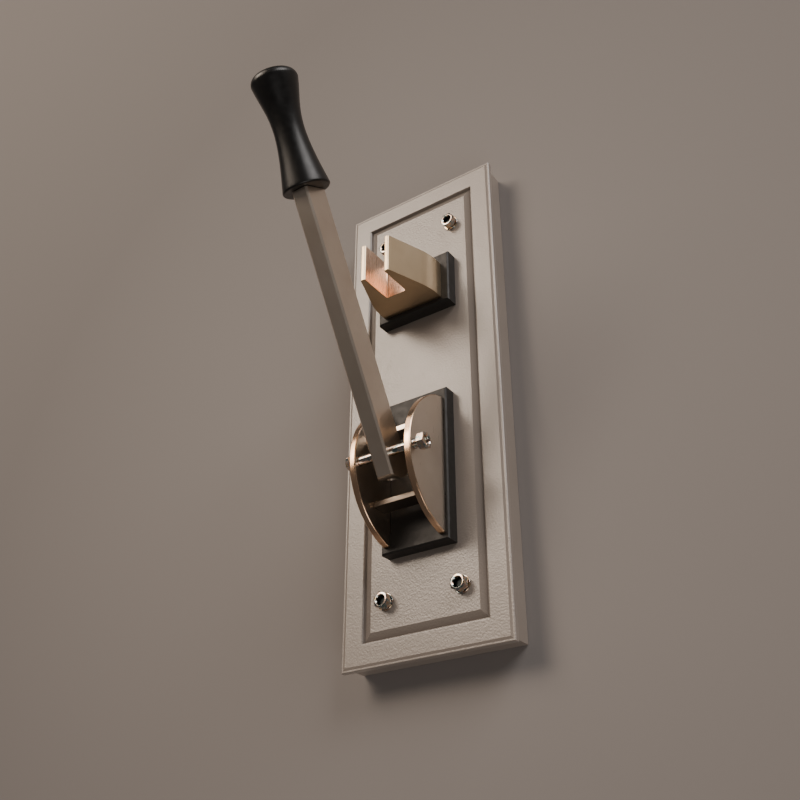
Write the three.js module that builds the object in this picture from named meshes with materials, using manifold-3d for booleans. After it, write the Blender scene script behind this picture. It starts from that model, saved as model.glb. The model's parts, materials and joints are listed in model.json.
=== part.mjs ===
// Single-throw knife blade switch on a moulded wall plate, in millimetres.
// The wall is the plane y = 0, the switch stands out of it towards -Y, and +Z is up.
// The blade swings about a cross rod (the X direction) and closes upwards into the contact jaw.
import * as THREE from "three";
import { mergeVertices } from "three/addons/utils/BufferGeometryUtils.js";
import Module from "manifold-3d";

const wasm = await Module();
wasm.setup();

// ---- clearances ----
const SEAT_GAP = 0.1; // between two flat faces that rest on each other
const CUT_GAP = 0.3; // around a piece that sits in a hole or a slot cut for it
const RUNNING_GAP = 0.12; // radial, where the pivot rod turns in the cheeks

// ---- facets round a full turn ----
const SIDES_SMALL = 20;
const SIDES_LARGE = 32;
const SIDES_CHEEK = 96;

// ---- back box and cover plate ----
const PLATE_WIDTH = 102.3;
const PLATE_HEIGHT = 300;
const COVER_FRONT = 16.5; // how far the cover's outer lip stands off the wall
const LIP_THICK = 3;
const BORDER_RISE = 0.5; // border above the lip
const FIELD_RISE = 0.1; // centre field above the lip
const LEDGE = 1.2; // flat outer ledge of the lip
const BORDER_START = 2.45;
const CHANNEL_OUTER = 12.5; // inset of the moulded channel from the plate's edge
const CHANNEL_INNER = 18.3;
const CHANNEL_DEPTH = 1.9; // bottom of the channel below the border
const CHANNEL_ROUND = 1.3; // rounded outer edge of the channel; its inner side slopes up to the field
const BOX_INSET = 2.3; // the box is this much smaller than the cover on every side
const BOX_WALL = 3;
const BOX_FLOOR = 3;
const BOSS_DIAMETER = 14;
const KEYHOLE_DIAMETER = 9;
const KEYHOLE_SLOT = 4.8;
const KEYHOLE_RISE = 7;
const KEYHOLE_HEIGHT = 95; // above and below the middle of the plate
const CABLE_ENTRY_DIAMETER = 20;
const CABLE_ENTRY_HEIGHT = -118;
const GROMMET_WALL = 2.2;
const GROMMET_LIP = 3;
const GROMMET_LIP_THICK = 1.2;
const LIP_CHAMFER = 0.4;
const GROOVE_BOTTOM = 0.2; // flat at the bottom of the channel

// ---- fasteners ----
const STUD_DIAMETER = 5;
const PANEL_STUD_SPREAD = 46.4;
const PANEL_STUD_TOP = 114.2;
const PANEL_STUD_BOTTOM = -117.2;
const PANEL_STUD_RECESS = 2.4; // stud end below the nut's face
const NUT_FLATS = 8;
const NUT_HEIGHT = 4.2;
const NUT_CHAMFER = 0.6; // radial
const WASHER_DIAMETER = 9.6;
const WASHER_THICK = 0.8;
const NUT_CHAMFER_ANGLE = Math.PI / 6;
const THREAD_GAP = 0.15; // radial, between a stud and the nut on it
const TERMINAL_DIAMETER = 8;
const TERMINAL_NUT_FLATS = 13;
const TERMINAL_NUT_HEIGHT = 5;
const TERMINAL_WASHER_DIAMETER = 16;
const TERMINAL_WASHER_THICK = 1.4;
const TERMINAL_END = 1.3; // stud end behind its nut
const TERMINAL_GRIP = 9; // terminal thread inside the jaw
const SLEEVE_WALL = 1.5;
const SLEEVE_FLANGE = 1;
const SCREW_DIAMETER = 4;
const SCREW_HEAD_DIAMETER = 7.6;
const SCREW_HEAD_HEIGHT = 2.6;
const SCREW_HEAD_ROUND = 0.8;
const SCREW_POINT = 0.6;
const JAW_SCREW_GRIP = 6; // screw thread inside the jaw
const HINGE_SCREW_COVER = 1.8; // hinge screws stop this far behind their block's front

// ---- insulating blocks ----
const JAW_BLOCK_WIDTH = 49.6;
const JAW_BLOCK_BOTTOM = 52.2;
const JAW_BLOCK_TOP = 87.4;
const HINGE_BLOCK_WIDTH = 42.3;
const HINGE_BLOCK_BOTTOM = -94.7;
const HINGE_BLOCK_TOP = -5.6;
const BLOCK_THICK = 7.6;
const BLOCK_BEVEL = 0.8;

// ---- contact jaw ----
const JAW_HEIGHT = 24.4;
const JAW_DROP = 2.4; // jaw's middle below the block's
const JAW_REACH = 38.8; // prong tips in front of the block
const JAW_BASE_WIDTH = 39.6;
const JAW_TIP_WIDTH = 19.3;
const JAW_SHOULDER = 3; // straight part of the side next to the block
const JAW_BEND_RADIUS = 42;
const JAW_SLOT_WIDTH = 13.2;
const JAW_SLOT_DEPTH = 21.9;
const JAW_SLOT_FILLET = 1;
const JAW_BEVEL = 0.6;
const JAW_SCREW_SPREAD = 24;

// ---- hinge ----
const PIVOT_OFF_BLOCK = 27.5; // pivot axis in front of the hinge block
const PIVOT_HEIGHT = -52.7;
const CHEEK_RADIUS = 41.1;
const CHEEK_SINK = 9; // centre of the cheek's arc behind the block's front face
const CHEEK_RISE = 1.2; // and above the pivot
const CHEEK_THICK = 3.9;
const CHEEK_SPACE = 30.4; // between the cheeks' inner faces
const CHEEK_BEVEL = 0.5;
const TANG_WIDTH = 12;
const TANG_SPREAD = 50;
const BASE_PLATE_WIDTH = 38;
const BASE_PLATE_HEIGHT = 78;
const BASE_PLATE_THICK = 2.5;
const BASE_SCREW_SPREAD = 16;
const BASE_SCREW_HEIGHT = 32;
const BAR_SPREAD = 40.6; // between the middles of the two cross bars
const BAR_THICK = 2.9;
const BAR_DEPTH = 9.9;
const BAR_BEHIND_PIVOT = 12.1; // front edge of the cross bars behind the pivot axis
const TENON_DEPTH = 1.5;
const TENON_WIDTH = 6;
const TENON_THICK = 2;
const ROD_DIAMETER = 5;
const PIVOT_NUT_GAP = 3.2; // right nut's inner face off the cheek's outer face
const PIVOT_NUT_RECESS = 1.4;
const JAM_NUT_GAP = 0.3; // thin left nut off its cheek
const JAM_NUT_HEIGHT = 2.6;
const JAM_NUT_RECESS = 0.6;
const OVERSHOOT = 1; // how far a cutter runs past the face that it opens
const FAR = 40; // past every face of the cover, the blocks and the jaw

// ---- blade and handle, measured along the blade from the pivot ----
const OPEN_ANGLE = 30.5; // degrees between the blade and the wall at rest
const BLADE_WIDTH = 10;
const BLADE_FRONT = 5.9; // front face in front of the pivot axis
const BLADE_BACK = 12.1;
const BLADE_BEVEL = 1;
const BLADE_TAIL = 14.3;
const TAIL_RADIUS = 13.7;
const HANDLE_START = 144.4;
const HANDLE_LENGTH = 66.6;
const HANDLE_FORWARD = 1.2; // handle axis in front of the blade's middle
const HANDLE_END_RADIUS = 13;
const HANDLE_RIM_ROUND = 1;
const HANDLE_WAIST_RADIUS = 8.4;
const HANDLE_WAIST_AT = 34; // from the handle's lower end
const HANDLE_CROWN_ROUND = 4.6;
const HANDLE_DOME = 0.8;
const TANG_DIAMETER = 8;
const TANG_LENGTH = 32;
const INSERT_WALL = 2;
const INSERT_LENGTH = 30;
const INSERT_COVER = 2; // plastic between the insert and the handle's lower end
const SET_SCREW_DIAMETER = 4;
const SET_SCREW_LENGTH = 6;

// ---- planes that several pieces share, as distances off the wall ----
const COVER_BACK = COVER_FRONT - LIP_THICK;
const FIELD_FRONT = COVER_FRONT + FIELD_RISE;
const BORDER_FRONT = COVER_FRONT + BORDER_RISE;
const BLOCK_BACK = FIELD_FRONT + SEAT_GAP;
const BLOCK_FRONT = BLOCK_BACK + BLOCK_THICK;
const JAW_BACK = BLOCK_FRONT + SEAT_GAP;
const JAW_MIDDLE = (JAW_BLOCK_BOTTOM + JAW_BLOCK_TOP) / 2 - JAW_DROP;
const HINGE_MIDDLE = (HINGE_BLOCK_BOTTOM + HINGE_BLOCK_TOP) / 2;
const PIVOT_OUT = BLOCK_FRONT + PIVOT_OFF_BLOCK;
const CHEEK_INNER = CHEEK_SPACE / 2;
const CHEEK_MIDDLE = PIVOT_HEIGHT + CHEEK_RISE;
const BLADE_DEPTH = BLADE_FRONT + BLADE_BACK;
const BLADE_MIDDLE = (BLADE_FRONT - BLADE_BACK) / 2;

// ---- finishes ----
const finish = (color, roughness, metalness) =>
  new THREE.MeshStandardMaterial({ color, roughness, metalness });
const PAINT = finish(0xa89d92, 0.45, 0);
const PHENOLIC = finish(0x35322f, 0.5, 0);
const BRONZE = finish(0xc09a80, 0.3, 1);
const CHROME = finish(0xd8dadc, 0.12, 1);
const BLACK_PLASTIC = finish(0x171615, 0.4, 0);
const BRASS = finish(0xb9924c, 0.3, 1);
const RUBBER = finish(0x1d1c1b, 0.8, 0);
const STEEL = finish(0xa9abad, 0.35, 1);

// ---- solids ----
function solidOf(geometry) {
  const bare = geometry.index ? geometry.toNonIndexed() : geometry.clone();
  bare.deleteAttribute("normal");
  bare.deleteAttribute("uv");
  const merged = mergeVertices(bare, 1e-4);
  return new wasm.Manifold(
    new wasm.Mesh({
      numProp: 3,
      vertProperties: merged.attributes.position.array,
      triVerts: new Uint32Array(merged.index.array),
    }),
  );
}

function geometryOf(solid) {
  const mesh = solid.getMesh();
  const geometry = new THREE.BufferGeometry();
  geometry.setAttribute("position", new THREE.BufferAttribute(mesh.vertProperties, 3));
  geometry.setIndex(new THREE.BufferAttribute(mesh.triVerts, 1));
  geometry.computeVertexNormals();
  return geometry;
}

const cutAll = (geometry, cutters) =>
  geometryOf(cutters.reduce((left, cutter) => left.subtract(solidOf(cutter)), solidOf(geometry)));

// A box between two depths off the wall, centred on x and z.
function slab(width, height, back, front, x = 0, z = 0) {
  return new THREE.BoxGeometry(width, front - back, height).translate(x, -(back + front) / 2, z);
}

// A round bar that stands out of the wall, between two depths off it.
function peg(diameter, back, front, x = 0, z = 0, sides = SIDES_SMALL) {
  return new THREE.CylinderGeometry(diameter / 2, diameter / 2, front - back, sides)
    .translate(x, -(back + front) / 2, z);
}

// A round bar along X.
function crossPeg(diameter, left, right, y, z, sides = SIDES_LARGE) {
  return new THREE.CylinderGeometry(diameter / 2, diameter / 2, right - left, sides)
    .rotateZ(Math.PI / 2)
    .translate((left + right) / 2, y, z);
}

// A panel whose profile is [inset, depth off the wall] pairs, mitred round a rectangle.
function mitredPanel(width, height, profile) {
  const positions = [];
  const index = [];
  for (const [inset, out] of profile) {
    const x = width / 2 - inset;
    const z = height / 2 - inset;
    positions.push(-x, -out, -z, x, -out, -z, x, -out, z, -x, -out, z);
  }
  for (let ring = 0; ring < profile.length - 1; ring += 1) {
    for (let side = 0; side < 4; side += 1) {
      const a = ring * 4 + side;
      const b = ring * 4 + ((side + 1) % 4);
      index.push(a, b, b + 4, a, b + 4, a + 4);
    }
  }
  const last = (profile.length - 1) * 4;
  index.push(0, 2, 1, 0, 3, 2);
  index.push(last, last + 1, last + 2, last, last + 2, last + 3);
  const geometry = new THREE.BufferGeometry();
  geometry.setAttribute("position", new THREE.Float32BufferAttribute(positions, 3));
  geometry.setIndex(index);
  return geometry;
}

// A block with its front edges bevelled.
function bevelledBlock(width, height, back, front, bevel, z) {
  const profile = [[0, back], [0, front - bevel], [bevel, front]];
  return mitredPanel(width, height, profile).translate(0, 0, z);
}

// A hexagonal nut along +Y from y = 0, both faces chamfered, with a round bore.
function nutGeometry(flats, height, bore, chamfer) {
  const hex = new THREE.CylinderGeometry(flats / Math.sqrt(3), flats / Math.sqrt(3), height, 6)
    .translate(0, height / 2, 0);
  const corner = flats / Math.sqrt(3);
  const rim = corner - chamfer;
  const rise = chamfer * Math.tan(NUT_CHAMFER_ANGLE);
  const clear = corner + CUT_GAP;
  const clearRise = rise * (clear - rim) / chamfer;
  const outline = [
    [0, 0], [rim, 0], [clear, clearRise], [clear, height - clearRise], [rim, height], [0, height],
  ].map(([r, y]) => new THREE.Vector2(r, y));
  const turned = new THREE.LatheGeometry(outline, 24);
  const hole = new THREE.CylinderGeometry(bore / 2, bore / 2, height * 3, SIDES_SMALL);
  return geometryOf(solidOf(hex).intersect(solidOf(turned)).subtract(solidOf(hole)));
}

// A flat ring along +Y from y = 0.
function ringGeometry(outer, bore, thick) {
  const outline = [
    [bore / 2, 0], [outer / 2, 0], [outer / 2, thick], [bore / 2, thick], [bore / 2, 0],
  ].map(([r, y]) => new THREE.Vector2(r, y));
  return new THREE.LatheGeometry(outline, SIDES_SMALL);
}

// ---- the assembly ----
const knifeSwitch = new THREE.Group();
knifeSwitch.name = "knife_blade_switch";
const lever = new THREE.Group();
lever.position.set(0, -PIVOT_OUT, PIVOT_HEIGHT);
lever.rotation.x = THREE.MathUtils.degToRad(OPEN_ANGLE);
knifeSwitch.add(lever);

function add(name, geometry, material, parent = knifeSwitch) {
  const mesh = new THREE.Mesh(geometry, material);
  mesh.name = name;
  parent.add(mesh);
  return mesh;
}

// Stands a piece made along +Y on end, so that it points out of the wall from a depth.
function standOut(mesh, x, out, z) {
  mesh.rotation.x = Math.PI;
  mesh.position.set(x, -out, z);
}

const panelStuds = [
  [-PANEL_STUD_SPREAD / 2, PANEL_STUD_TOP],
  [PANEL_STUD_SPREAD / 2, PANEL_STUD_TOP],
  [-PANEL_STUD_SPREAD / 2, PANEL_STUD_BOTTOM],
  [PANEL_STUD_SPREAD / 2, PANEL_STUD_BOTTOM],
];
const jawScrews = [-1, 1].map((side) => [side * JAW_SCREW_SPREAD / 2, JAW_MIDDLE]);
const baseScrews = [-1, 1].flatMap((side) => [-1, 1].map((end) => [
  side * BASE_SCREW_SPREAD / 2,
  HINGE_MIDDLE + end * BASE_SCREW_HEIGHT,
]));

addBox();
addCover();
addPanelFasteners();
addJaw();
addHinge();
addTerminal("jaw", JAW_MIDDLE, BLOCK_FRONT + TERMINAL_GRIP);
addTerminal("hinge", HINGE_MIDDLE, BLOCK_BACK + BASE_PLATE_THICK);
addPivot();
addBlade();
addHandle();

function addBox() {
  const width = PLATE_WIDTH - 2 * BOX_INSET;
  const height = PLATE_HEIGHT - 2 * BOX_INSET;
  const rim = COVER_BACK - SEAT_GAP;
  let box = solidOf(slab(width, height, 0, rim));
  const hollow = slab(width - 2 * BOX_WALL, height - 2 * BOX_WALL, BOX_FLOOR, rim + OVERSHOOT);
  box = box.subtract(solidOf(hollow));
  for (const [x, z] of panelStuds) {
    box = box.add(solidOf(peg(BOSS_DIAMETER, BOX_FLOOR - OVERSHOOT, rim, x, z)));
    const bore = peg(STUD_DIAMETER + 2 * CUT_GAP, BOX_FLOOR, rim + OVERSHOOT, x, z);
    box = box.subtract(solidOf(bore));
  }
  const through = [-OVERSHOOT, BOX_FLOOR + OVERSHOOT];
  for (const side of [-1, 1]) {
    const z = side * KEYHOLE_HEIGHT;
    box = box.subtract(solidOf(peg(KEYHOLE_DIAMETER, ...through, 0, z)));
    box = box.subtract(solidOf(peg(KEYHOLE_SLOT, ...through, 0, z + KEYHOLE_RISE)));
    const slot = slab(KEYHOLE_SLOT, KEYHOLE_RISE, ...through, 0, z + KEYHOLE_RISE / 2);
    box = box.subtract(solidOf(slot));
  }
  const cableEntry = peg(CABLE_ENTRY_DIAMETER, ...through, 0, CABLE_ENTRY_HEIGHT);
  box = box.subtract(solidOf(cableEntry));
  add("back_box", geometryOf(box), PAINT);

  // The grommet's groove clips over the edge of the cable entry.
  const hole = CABLE_ENTRY_DIAMETER / 2;
  const neck = hole - CUT_GAP;
  const bore = neck - GROMMET_WALL;
  const flange = hole + GROMMET_LIP;
  const inner = BOX_FLOOR + SEAT_GAP;
  const outline = [
    [bore, 0], [neck, 0], [neck, inner], [flange, inner],
    [flange, inner + GROMMET_LIP_THICK], [neck, inner + 2 * GROMMET_LIP_THICK],
    [bore, inner + 2 * GROMMET_LIP_THICK], [bore, 0],
  ].map(([r, y]) => new THREE.Vector2(r, y));
  const grommet = add("cable_grommet", new THREE.LatheGeometry(outline, SIDES_SMALL), RUBBER);
  standOut(grommet, 0, 0, CABLE_ENTRY_HEIGHT);
}

function addCover() {
  const floor = BORDER_FRONT - CHANNEL_DEPTH;
  const roundEdge = [30, 60].map((degrees) => {
    const angle = THREE.MathUtils.degToRad(degrees);
    return [
      CHANNEL_OUTER + CHANNEL_ROUND * Math.sin(angle),
      BORDER_FRONT - CHANNEL_ROUND * (1 - Math.cos(angle)),
    ];
  });
  const cover = mitredPanel(PLATE_WIDTH, PLATE_HEIGHT, [
    [0, COVER_BACK],
    [0, COVER_FRONT - LIP_CHAMFER],
    [LIP_CHAMFER, COVER_FRONT],
    [LEDGE, COVER_FRONT],
    [BORDER_START, BORDER_FRONT],
    [CHANNEL_OUTER, BORDER_FRONT],
    ...roundEdge,
    [CHANNEL_OUTER + CHANNEL_ROUND, BORDER_FRONT - CHANNEL_ROUND],
    [CHANNEL_OUTER + CHANNEL_ROUND + GROOVE_BOTTOM, floor],
    [CHANNEL_OUTER + CHANNEL_ROUND + 2 * GROOVE_BOTTOM, floor],
    [CHANNEL_INNER, FIELD_FRONT],
  ]);
  const holes = [
    ...panelStuds.map(([x, z]) => peg(STUD_DIAMETER + 2 * CUT_GAP, 0, FAR, x, z)),
    ...[...jawScrews, ...baseScrews].map(([x, z]) => peg(SCREW_DIAMETER + 2 * CUT_GAP, 0, FAR, x, z)),
    ...[JAW_MIDDLE, HINGE_MIDDLE].map((z) => peg(
      TERMINAL_DIAMETER + 2 * SLEEVE_WALL + 4 * CUT_GAP, 0, FAR, 0, z,
    )),
  ];
  add("cover_plate", cutAll(cover, holes), PAINT);
}

function addPanelFasteners() {
  const washerBack = FIELD_FRONT + SEAT_GAP;
  const nutBack = washerBack + WASHER_THICK + SEAT_GAP;
  const studFront = nutBack + NUT_HEIGHT - PANEL_STUD_RECESS;
  const bore = STUD_DIAMETER + 2 * THREAD_GAP;
  panelStuds.forEach(([x, z], i) => {
    const length = studFront - BOX_FLOOR - SEAT_GAP;
    const stud = new THREE.CylinderGeometry(STUD_DIAMETER / 2, STUD_DIAMETER / 2, length, SIDES_SMALL)
      .translate(0, length / 2, 0);
    standOut(add(`panel_stud_${i + 1}`, stud, CHROME), x, BOX_FLOOR + SEAT_GAP, z);
    const washer = ringGeometry(WASHER_DIAMETER, bore, WASHER_THICK);
    standOut(add(`panel_washer_${i + 1}`, washer, CHROME), x, washerBack, z);
    const nut = nutGeometry(NUT_FLATS, NUT_HEIGHT, bore, NUT_CHAMFER);
    standOut(add(`panel_nut_${i + 1}`, nut, CHROME), x, nutBack, z);
  });
}

// Pan-head screws put in from inside the box, through the cover and into a block.
function addScrews(name, places, tip) {
  places.forEach(([x, z], i) => {
    const head = COVER_BACK - SEAT_GAP;
    const outline = [
      [0, head - SCREW_HEAD_HEIGHT],
      [SCREW_HEAD_DIAMETER / 2 - SCREW_HEAD_ROUND, head - SCREW_HEAD_HEIGHT],
      [SCREW_HEAD_DIAMETER / 2, head - SCREW_HEAD_HEIGHT + SCREW_HEAD_ROUND],
      [SCREW_HEAD_DIAMETER / 2, head],
      [SCREW_DIAMETER / 2, head], [SCREW_DIAMETER / 2, tip - SCREW_POINT],
      [SCREW_DIAMETER / 2 - SCREW_POINT, tip], [0, tip],
    ].map(([r, y]) => new THREE.Vector2(r, y));
    standOut(add(`${name}_${i + 1}`, new THREE.LatheGeometry(outline, SIDES_SMALL), STEEL), x, 0, z);
  });
}

function addJaw() {
  const bore = TERMINAL_DIAMETER + 2 * CUT_GAP;
  const screwBore = SCREW_DIAMETER + 2 * CUT_GAP;
  const blockMiddle = (JAW_BLOCK_BOTTOM + JAW_BLOCK_TOP) / 2;
  const blockHeight = JAW_BLOCK_TOP - JAW_BLOCK_BOTTOM;
  const block = bevelledBlock(
    JAW_BLOCK_WIDTH, blockHeight, BLOCK_BACK, BLOCK_FRONT, BLOCK_BEVEL, blockMiddle,
  );
  const screwTip = BLOCK_FRONT + JAW_SCREW_GRIP;
  const wells = jawScrews.map(([x, z]) => peg(screwBore, 0, screwTip + CUT_GAP, x, z));
  add("jaw_block", cutAll(block, [peg(bore, 0, FAR, 0, JAW_MIDDLE), ...wells]), PHENOLIC);

  // Half of the jaw's outline, from the block out to the prong tip and into the slot.
  const tipOut = JAW_BACK + JAW_REACH;
  const base = JAW_BASE_WIDTH / 2;
  const tip = JAW_TIP_WIDTH / 2;
  const slot = JAW_SLOT_WIDTH / 2;
  const bendStart = JAW_BACK + JAW_SHOULDER;
  const flare = flareAngle(base - tip, tipOut - JAW_BEVEL - bendStart, JAW_BEND_RADIUS);
  const bend = [0, 1 / 4, 1 / 2, 3 / 4, 1].map((share) => [
    base - JAW_BEND_RADIUS * (1 - Math.cos(flare * share)),
    bendStart + JAW_BEND_RADIUS * Math.sin(flare * share),
  ]);
  const floorOut = tipOut - JAW_SLOT_DEPTH;
  const fillet = [0, 1 / 2, 1].map((share) => [
    slot - JAW_SLOT_FILLET * (1 - Math.cos(share * Math.PI / 2)),
    floorOut + JAW_SLOT_FILLET * (1 - Math.sin(share * Math.PI / 2)),
  ]);
  const half = [
    [base, JAW_BACK], ...bend,
    [tip, tipOut - JAW_BEVEL], [tip - JAW_BEVEL, tipOut],
    [slot + JAW_BEVEL, tipOut], [slot, tipOut - JAW_BEVEL], ...fillet,
  ];
  const outline = [...half, ...half.map(([x, out]) => [-x, out]).reverse()];
  const shape = new THREE.Shape(outline.map(([x, out]) => new THREE.Vector2(x, out)));
  const jaw = new THREE.ExtrudeGeometry(shape, { depth: JAW_HEIGHT, bevelEnabled: false })
    .translate(0, 0, -JAW_HEIGHT / 2)
    .rotateX(Math.PI)
    .translate(0, 0, JAW_MIDDLE);
  const grip = peg(bore, 0, BLOCK_FRONT + TERMINAL_GRIP + CUT_GAP, 0, JAW_MIDDLE);
  add("contact_jaw", cutAll(jaw, [grip, ...wells]), BRONZE);
  addScrews("jaw_screw", jawScrews, screwTip);
}

// The angle through which a side bends so that a straight flare carries it on to the prong tip.
function flareAngle(drop, run, radius) {
  return Math.asin(radius / Math.hypot(run, radius - drop)) - Math.atan2(radius - drop, run);
}

function addHinge() {
  const screwBore = SCREW_DIAMETER + 2 * CUT_GAP;
  const height = HINGE_BLOCK_TOP - HINGE_BLOCK_BOTTOM;
  const plateFront = BLOCK_BACK + BASE_PLATE_THICK;
  const tangs = [-1, 1].flatMap((side) => [-1, 1].map((end) => [
    side * (CHEEK_INNER + CHEEK_THICK / 2),
    CHEEK_MIDDLE + end * TANG_SPREAD / 2,
  ]));
  const tangSlots = tangs.map(([x, z]) => slab(
    CHEEK_THICK + 2 * CUT_GAP, TANG_WIDTH + 2 * CUT_GAP, 0, FAR, x, z,
  ));
  const screwTip = BLOCK_FRONT - HINGE_SCREW_COVER;
  const wells = baseScrews.map(([x, z]) => peg(screwBore, 0, screwTip + CUT_GAP, x, z));
  const pocket = slab(
    BASE_PLATE_WIDTH + 2 * CUT_GAP, BASE_PLATE_HEIGHT + 2 * CUT_GAP,
    0, plateFront + SEAT_GAP, 0, HINGE_MIDDLE,
  );
  const block = bevelledBlock(
    HINGE_BLOCK_WIDTH, height, BLOCK_BACK, BLOCK_FRONT, BLOCK_BEVEL, HINGE_MIDDLE,
  );
  add("hinge_block", cutAll(block, [pocket, ...tangSlots, ...wells]), PHENOLIC);

  const plate = slab(
    BASE_PLATE_WIDTH, BASE_PLATE_HEIGHT, BLOCK_BACK, plateFront - SEAT_GAP, 0, HINGE_MIDDLE,
  );
  const centreHole = peg(TERMINAL_DIAMETER + 2 * CUT_GAP, 0, FAR, 0, HINGE_MIDDLE);
  add("hinge_base_plate", cutAll(plate, [centreHole, ...tangSlots, ...wells]), BRONZE);
  addScrews("hinge_screw", baseScrews, screwTip);

  const barMiddles = [PIVOT_HEIGHT + BAR_SPREAD / 2, PIVOT_HEIGHT - BAR_SPREAD / 2];
  const barFront = PIVOT_OUT - BAR_BEHIND_PIVOT;
  const barBack = barFront - BAR_DEPTH;
  const barCentre = (barFront + barBack) / 2;
  for (const [name, side] of [["cheek_left", -1], ["cheek_right", 1]]) {
    const inner = side > 0 ? CHEEK_INNER : -CHEEK_INNER - CHEEK_THICK;
    const outer = inner + CHEEK_THICK;
    let cheek = solidOf(cheekDisc(inner, outer));
    const behind = slab(PLATE_WIDTH, PLATE_HEIGHT, -CHEEK_RADIUS, BLOCK_FRONT + SEAT_GAP);
    cheek = cheek.subtract(solidOf(behind));
    for (const end of [-1, 1]) {
      const z = CHEEK_MIDDLE + end * TANG_SPREAD / 2;
      const root = BLOCK_FRONT + SEAT_GAP + OVERSHOOT;
      const tang = slab(CHEEK_THICK, TANG_WIDTH, BLOCK_BACK, root, (inner + outer) / 2, z);
      cheek = cheek.add(solidOf(tang));
    }
    const bearing = crossPeg(
      ROD_DIAMETER + 2 * RUNNING_GAP, inner - OVERSHOOT, outer + OVERSHOOT, -PIVOT_OUT, PIVOT_HEIGHT,
    );
    cheek = cheek.subtract(solidOf(bearing));
    for (const z of barMiddles) {
      const mortise = slab(
        2 * (TENON_DEPTH + CUT_GAP), TENON_THICK + 2 * CUT_GAP,
        barCentre - TENON_WIDTH / 2 - CUT_GAP, barCentre + TENON_WIDTH / 2 + CUT_GAP,
        side * CHEEK_INNER, z,
      );
      cheek = cheek.subtract(solidOf(mortise));
    }
    add(name, geometryOf(cheek), BRONZE);
  }

  ["cross_bar_upper", "cross_bar_lower"].forEach((name, i) => {
    const z = barMiddles[i];
    const body = slab(CHEEK_SPACE - 2 * SEAT_GAP, BAR_THICK, barBack, barFront, 0, z);
    const tenons = slab(
      CHEEK_SPACE + 2 * TENON_DEPTH, TENON_THICK,
      barCentre - TENON_WIDTH / 2, barCentre + TENON_WIDTH / 2, 0, z,
    );
    add(name, geometryOf(solidOf(body).add(solidOf(tenons))), BRONZE);
  });
}

// A disc of the cheek's radius across X, its rim edges bevelled.
function cheekDisc(inner, outer) {
  const outline = [
    [0, inner], [CHEEK_RADIUS - CHEEK_BEVEL, inner], [CHEEK_RADIUS, inner + CHEEK_BEVEL],
    [CHEEK_RADIUS, outer - CHEEK_BEVEL], [CHEEK_RADIUS - CHEEK_BEVEL, outer], [0, outer],
  ].map(([r, y]) => new THREE.Vector2(r, y));
  return new THREE.LatheGeometry(outline, SIDES_CHEEK)
    .rotateZ(-Math.PI / 2)
    .translate(0, -(BLOCK_FRONT - CHEEK_SINK), CHEEK_MIDDLE);
}

// A terminal stud that comes back through the cover into the box, with its insulation and nut.
function addTerminal(name, z, front) {
  const bore = TERMINAL_DIAMETER + 2 * CUT_GAP;
  const flangeFront = COVER_BACK - SEAT_GAP;
  const flangeBack = flangeFront - SLEEVE_FLANGE;
  const washerBack = flangeBack - SEAT_GAP - TERMINAL_WASHER_THICK;
  const nutBack = washerBack - SEAT_GAP - TERMINAL_NUT_HEIGHT;
  const tube = bore / 2 + SLEEVE_WALL;
  const outline = [
    [bore / 2, flangeBack], [TERMINAL_WASHER_DIAMETER / 2, flangeBack],
    [TERMINAL_WASHER_DIAMETER / 2, flangeFront], [tube, flangeFront],
    [tube, FIELD_FRONT - SEAT_GAP], [bore / 2, FIELD_FRONT - SEAT_GAP], [bore / 2, flangeBack],
  ].map(([r, y]) => new THREE.Vector2(r, y));
  standOut(add(`${name}_sleeve`, new THREE.LatheGeometry(outline, SIDES_SMALL), PHENOLIC), 0, 0, z);
  const washer = ringGeometry(TERMINAL_WASHER_DIAMETER, bore, TERMINAL_WASHER_THICK);
  standOut(add(`${name}_terminal_washer`, washer, STEEL), 0, washerBack, z);
  const nut = nutGeometry(TERMINAL_NUT_FLATS, TERMINAL_NUT_HEIGHT, bore, NUT_CHAMFER);
  standOut(add(`${name}_terminal_nut`, nut, STEEL), 0, nutBack, z);
  const studBack = nutBack - TERMINAL_END;
  add(`${name}_terminal_stud`, peg(TERMINAL_DIAMETER, studBack, front - SEAT_GAP, 0, z), BRASS);
}

// The cross rod turns with the blade, so it and its nuts belong to the lever.
function addPivot() {
  const cheekFace = CHEEK_INNER + CHEEK_THICK;
  const left = cheekFace + JAM_NUT_GAP + JAM_NUT_HEIGHT - JAM_NUT_RECESS;
  const right = cheekFace + PIVOT_NUT_GAP + NUT_HEIGHT - PIVOT_NUT_RECESS;
  add("pivot_rod", crossPeg(ROD_DIAMETER, -left, right, 0, 0), CHROME, lever);
  const bore = ROD_DIAMETER + 2 * THREAD_GAP;
  const nuts = [
    ["pivot_nut_left", -1, JAM_NUT_GAP, JAM_NUT_HEIGHT],
    ["pivot_nut_right", 1, PIVOT_NUT_GAP, NUT_HEIGHT],
  ];
  for (const [name, side, gap, height] of nuts) {
    const mesh = add(name, nutGeometry(NUT_FLATS, height, bore, NUT_CHAMFER), CHROME, lever);
    mesh.rotation.z = -side * Math.PI / 2;
    mesh.position.x = side * (cheekFace + gap);
  }
}

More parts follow.
